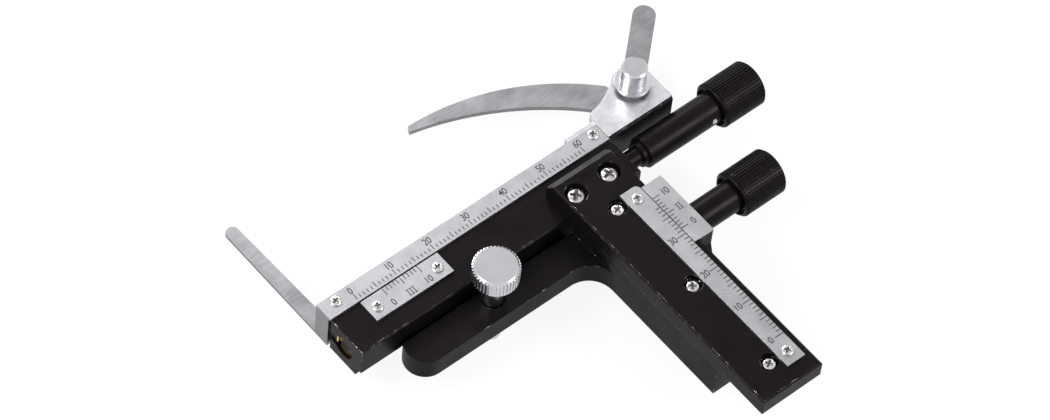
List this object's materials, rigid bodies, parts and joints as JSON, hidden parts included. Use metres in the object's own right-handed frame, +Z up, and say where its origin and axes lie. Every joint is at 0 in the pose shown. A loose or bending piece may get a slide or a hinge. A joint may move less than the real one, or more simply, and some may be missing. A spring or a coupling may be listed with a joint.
{
  "type": "mechanical microscope stage",
  "caption": "Mechanical microscope stage: two crossed slides with knobs, scales and verniers, a specimen clip with a sprung finger, and a thumb screw that fixes it to the table.",
  "frame": {"origin": "On the thumb screw's axis, in the plane of the bracket's underside, which rests on the microscope's table.", "axes": "+X runs along the slide bar towards the knobs, +Y from the operator towards the specimen clips, and +Z up, away from the table."},
  "size_m": [0.1097, 0.1043, 0.024],
  "materials": {
    "black": "satin black enamel on metal, worn bright at the edges",
    "brass": "machined brass, lightly greased",
    "satin": "satin anodised plate with printed lines",
    "bright": "bright plated, turned",
    "steel": "ground steel, fine lines"
  },
  "bodies": {
    "mount": {"mount_bracket": "black", "pinion_bushing": "brass", "y_vernier_plate": "satin"},
    "clamp_stud": {"clamp_stud": "bright"},
    "clamp_head": {"clamp_head": "bright"},
    "y_slide": {"y_slide_plate": "black", "y_dovetail_rail": "steel", "y_rack": "brass", "y_scale_plate": "satin", "y_scale_screw_one": "bright", "y_scale_screw_two": "bright", "plate_screw_far": "bright", "plate_screw_middle": "bright", "plate_screw_near": "bright", "guide_screw_one": "bright", "guide_screw_two": "bright", "x_guide_bar": "black", "x_vernier_plate": "satin", "x_vernier_screw_one": "bright", "x_vernier_screw_two": "bright", "x_bushing_left": "brass", "x_bushing_right": "brass"},
    "x_slide": {"x_slide_bar": "black", "x_rack_strip": "brass", "x_scale_plate": "satin", "x_scale_screw_one": "bright", "x_scale_screw_two": "bright", "fixed_clip": "steel", "clip_bracket": "satin", "pivot_post": "bright"},
    "spring_finger": {"spring_finger": "steel"},
    "x_knob": {"x_knob": "black", "x_lead_screw": "steel", "x_thrust_washer": "steel"},
    "y_knob": {"y_knob": "black", "y_pinion_shaft": "steel"}
  },
  "joints": [
    {"name": "y_travel", "type": "slide", "parent": "mount", "child": "y_slide", "axis": [0, 1, 0], "range_m": [-0.0007, 0.0314]},
    {"name": "x_travel", "type": "slide", "parent": "y_slide", "child": "x_slide", "axis": [1, 0, 0], "range_m": [-0.0545, 0.0055]},
    {"name": "y_knob_turn", "type": "hinge", "parent": "mount", "child": "y_knob", "pos_m": [0.042, -0.0106, 0.0059], "axis": [1, 0, 0], "range_deg": [-520, 15]},
    {"name": "x_knob_turn", "type": "hinge", "parent": "y_slide", "child": "x_knob", "pos_m": [0.0422, 0.0093, 0.005], "axis": [1, 0, 0], "range_deg": [-170, 1640]},
    {"name": "clamp_travel", "type": "slide", "parent": "mount", "child": "clamp_stud", "axis": [0, 0, 1], "range_m": [-0.003, 0.0065]},
    {"name": "clamp_turn", "type": "hinge", "parent": "clamp_stud", "child": "clamp_head", "pos_m": [0, 0, 0.0131], "axis": [0, 0, 1], "range_deg": [-1360, 2935]},
    {"name": "finger_swing", "type": "hinge", "parent": "x_slide", "child": "spring_finger", "pos_m": [0.0545, 0.0208, 0], "axis": [0, 0, 1], "range_deg": [-40, 0], "stiffness_Nm_per_rad": 0.03, "springref_deg": 17.19}
  ],
  "couplings": [
    {"joint": "y_knob_turn", "follows": "y_travel", "rad_per_m": -285.71},
    {"joint": "x_knob_turn", "follows": "x_travel", "rad_per_m": -523.6},
    {"joint": "clamp_turn", "follows": "clamp_travel", "rad_per_m": 7854}
  ]
}
